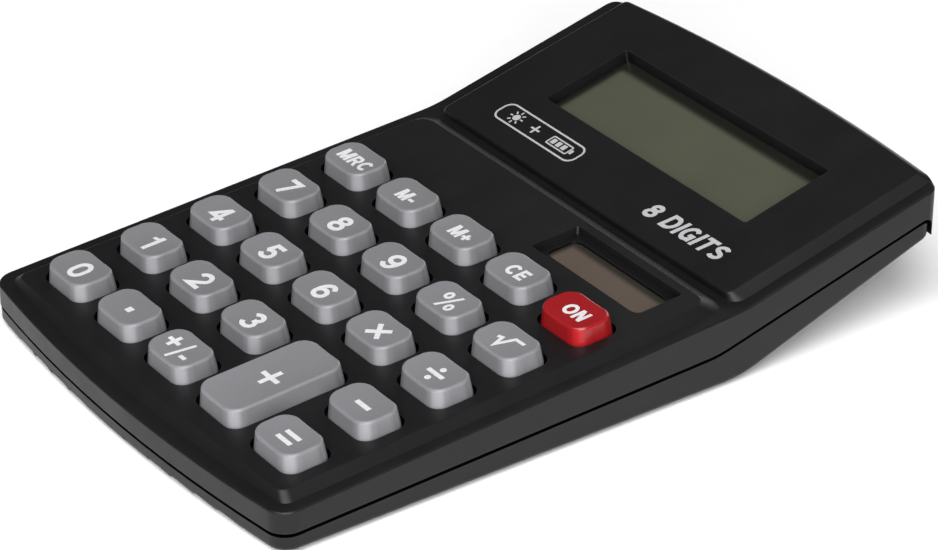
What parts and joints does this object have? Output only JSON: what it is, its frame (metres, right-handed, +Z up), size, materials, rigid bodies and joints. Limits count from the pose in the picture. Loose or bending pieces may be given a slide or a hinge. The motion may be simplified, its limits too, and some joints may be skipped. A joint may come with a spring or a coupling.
{
  "type": "desk calculator",
  "caption": "Small solar and battery desk calculator: a wedge-shaped plastic case with a sloped display panel over a keypad of separate raised keys.",
  "frame": {"origin": "on the table, under the middle of the outline's bounding box", "axes": "+X to the right across the keypad, +Y from the user's side towards the display, +Z up"},
  "size_m": [0.0706, 0.1082, 0.0198],
  "materials": {
    "housing": "fine satin texture",
    "key_grey": "satin",
    "key_red": "gloss",
    "retainer": "matte",
    "silicone": "matte",
    "board": "matte laminate",
    "epoxy": "semi-gloss",
    "component": "satin ceramic",
    "component_sleeve": "gloss sleeve",
    "component_glass": "glassy",
    "screw": "plated",
    "polariser": "smooth",
    "lcd_glass": "polished",
    "reflector": "satin foil",
    "ribbon": "satin film",
    "solar": "glassy",
    "lead_red": "gloss",
    "lead_black": "gloss",
    "cell_can": "bright",
    "clip": "spring steel",
    "foot_rubber": "matte"
  },
  "bodies": {
    "calculator": {"upper_housing": "housing", "lower_housing": "housing", "battery_door": "housing", "lcd_retainer": "retainer", "key_mat": "silicone", "main_board": "board", "chip_blob": "epoxy", "chip_capacitors": "component", "electrolytic_capacitor": "component_sleeve", "clamp_diode": "component_glass", "board_screws": "screw", "retainer_screws": "screw", "housing_screws": "screw", "battery_door_screw": "screw", "lcd_front_polariser": "polariser", "lcd_glass": "lcd_glass", "lcd_reflector": "reflector", "lcd_ribbon": "ribbon", "solar_cell": "solar", "solar_lead_red": "lead_red", "solar_lead_black": "lead_black", "button_cell": "cell_can", "battery_clip_minus": "clip", "battery_clip_plus": "clip", "rubber_feet": "foot_rubber"},
    "key_mrc_body": {"key_mrc": "key_grey"},
    "key_m_minus_body": {"key_m_minus": "key_grey"},
    "key_m_plus_body": {"key_m_plus": "key_grey"},
    "key_ce_body": {"key_ce": "key_grey"},
    "key_on_body": {"key_on": "key_red"},
    "key_7_body": {"key_7": "key_grey"},
    "key_8_body": {"key_8": "key_grey"},
    "key_9_body": {"key_9": "key_grey"},
    "key_percent_body": {"key_percent": "key_grey"},
    "key_root_body": {"key_root": "key_grey"},
    "key_4_body": {"key_4": "key_grey"},
    "key_5_body": {"key_5": "key_grey"},
    "key_6_body": {"key_6": "key_grey"},
    "key_multiply_body": {"key_multiply": "key_grey"},
    "key_divide_body": {"key_divide": "key_grey"},
    "key_1_body": {"key_1": "key_grey"},
    "key_2_body": {"key_2": "key_grey"},
    "key_3_body": {"key_3": "key_grey"},
    "key_plus_body": {"key_plus": "key_grey"},
    "key_minus_body": {"key_minus": "key_grey"},
    "key_0_body": {"key_0": "key_grey"},
    "key_point_body": {"key_point": "key_grey"},
    "key_sign_body": {"key_sign": "key_grey"},
    "key_equals_body": {"key_equals": "key_grey"}
  },
  "joints": [
    {"name": "key_mrc_press", "type": "slide", "parent": "calculator", "child": "key_mrc_body", "axis": [0, 0.0638, -0.998], "range_m": [0, 0.001], "stiffness_N_per_m": 600, "deforming": ["key_mat"]},
    {"name": "key_m_minus_press", "type": "slide", "parent": "calculator", "child": "key_m_minus_body", "axis": [0, 0.0638, -0.998], "range_m": [0, 0.001], "stiffness_N_per_m": 600, "deforming": ["key_mat"]},
    {"name": "key_m_plus_press", "type": "slide", "parent": "calculator", "child": "key_m_plus_body", "axis": [0, 0.0638, -0.998], "range_m": [0, 0.001], "stiffness_N_per_m": 600, "deforming": ["key_mat"]},
    {"name": "key_ce_press", "type": "slide", "parent": "calculator", "child": "key_ce_body", "axis": [0, 0.0638, -0.998], "range_m": [0, 0.001], "stiffness_N_per_m": 600, "deforming": ["key_mat"]},
    {"name": "key_on_press", "type": "slide", "parent": "calculator", "child": "key_on_body", "axis": [0, 0.0638, -0.998], "range_m": [0, 0.001], "stiffness_N_per_m": 600, "deforming": ["key_mat"]},
    {"name": "key_7_press", "type": "slide", "parent": "calculator", "child": "key_7_body", "axis": [0, 0.0638, -0.998], "range_m": [0, 0.001], "stiffness_N_per_m": 600, "deforming": ["key_mat"]},
    {"name": "key_8_press", "type": "slide", "parent": "calculator", "child": "key_8_body", "axis": [0, 0.0638, -0.998], "range_m": [0, 0.001], "stiffness_N_per_m": 600, "deforming": ["key_mat"]},
    {"name": "key_9_press", "type": "slide", "parent": "calculator", "child": "key_9_body", "axis": [0, 0.0638, -0.998], "range_m": [0, 0.001], "stiffness_N_per_m": 600, "deforming": ["key_mat"]},
    {"name": "key_percent_press", "type": "slide", "parent": "calculator", "child": "key_percent_body", "axis": [0, 0.0638, -0.998], "range_m": [0, 0.001], "stiffness_N_per_m": 600, "deforming": ["key_mat"]},
    {"name": "key_root_press", "type": "slide", "parent": "calculator", "child": "key_root_body", "axis": [0, 0.0638, -0.998], "range_m": [0, 0.001], "stiffness_N_per_m": 600, "deforming": ["key_mat"]},
    {"name": "key_4_press", "type": "slide", "parent": "calculator", "child": "key_4_body", "axis": [0, 0.0638, -0.998], "range_m": [0, 0.001], "stiffness_N_per_m": 600, "deforming": ["key_mat"]},
    {"name": "key_5_press", "type": "slide", "parent": "calculator", "child": "key_5_body", "axis": [0, 0.0638, -0.998], "range_m": [0, 0.001], "stiffness_N_per_m": 600, "deforming": ["key_mat"]},
    {"name": "key_6_press", "type": "slide", "parent": "calculator", "child": "key_6_body", "axis": [0, 0.0638, -0.998], "range_m": [0, 0.001], "stiffness_N_per_m": 600, "deforming": ["key_mat"]},
    {"name": "key_multiply_press", "type": "slide", "parent": "calculator", "child": "key_multiply_body", "axis": [0, 0.0638, -0.998], "range_m": [0, 0.001], "stiffness_N_per_m": 600, "deforming": ["key_mat"]},
    {"name": "key_divide_press", "type": "slide", "parent": "calculator", "child": "key_divide_body", "axis": [0, 0.0638, -0.998], "range_m": [0, 0.001], "stiffness_N_per_m": 600, "deforming": ["key_mat"]},
    {"name": "key_1_press", "type": "slide", "parent": "calculator", "child": "key_1_body", "axis": [0, 0.0638, -0.998], "range_m": [0, 0.001], "stiffness_N_per_m": 600, "deforming": ["key_mat"]},
    {"name": "key_2_press", "type": "slide", "parent": "calculator", "child": "key_2_body", "axis": [0, 0.0638, -0.998], "range_m": [0, 0.001], "stiffness_N_per_m": 600, "deforming": ["key_mat"]},
    {"name": "key_3_press", "type": "slide", "parent": "calculator", "child": "key_3_body", "axis": [0, 0.0638, -0.998], "range_m": [0, 0.001], "stiffness_N_per_m": 600, "deforming": ["key_mat"]},
    {"name": "key_plus_press", "type": "slide", "parent": "calculator", "child": "key_plus_body", "axis": [0, 0.0638, -0.998], "range_m": [0, 0.001], "stiffness_N_per_m": 600, "deforming": ["key_mat"]},
    {"name": "key_minus_press", "type": "slide", "parent": "calculator", "child": "key_minus_body", "axis": [0, 0.0638, -0.998], "range_m": [0, 0.001], "stiffness_N_per_m": 600, "deforming": ["key_mat"]},
    {"name": "key_0_press", "type": "slide", "parent": "calculator", "child": "key_0_body", "axis": [0, 0.0638, -0.998], "range_m": [0, 0.001], "stiffness_N_per_m": 600, "deforming": ["key_mat"]},
    {"name": "key_point_press", "type": "slide", "parent": "calculator", "child": "key_point_body", "axis": [0, 0.0638, -0.998], "range_m": [0, 0.001], "stiffness_N_per_m": 600, "deforming": ["key_mat"]},
    {"name": "key_sign_press", "type": "slide", "parent": "calculator", "child": "key_sign_body", "axis": [0, 0.0638, -0.998], "range_m": [0, 0.001], "stiffness_N_per_m": 600, "deforming": ["key_mat"]},
    {"name": "key_equals_press", "type": "slide", "parent": "calculator", "child": "key_equals_body", "axis": [0, 0.0638, -0.998], "range_m": [0, 0.001], "stiffness_N_per_m": 600, "deforming": ["key_mat"]}
  ]
}
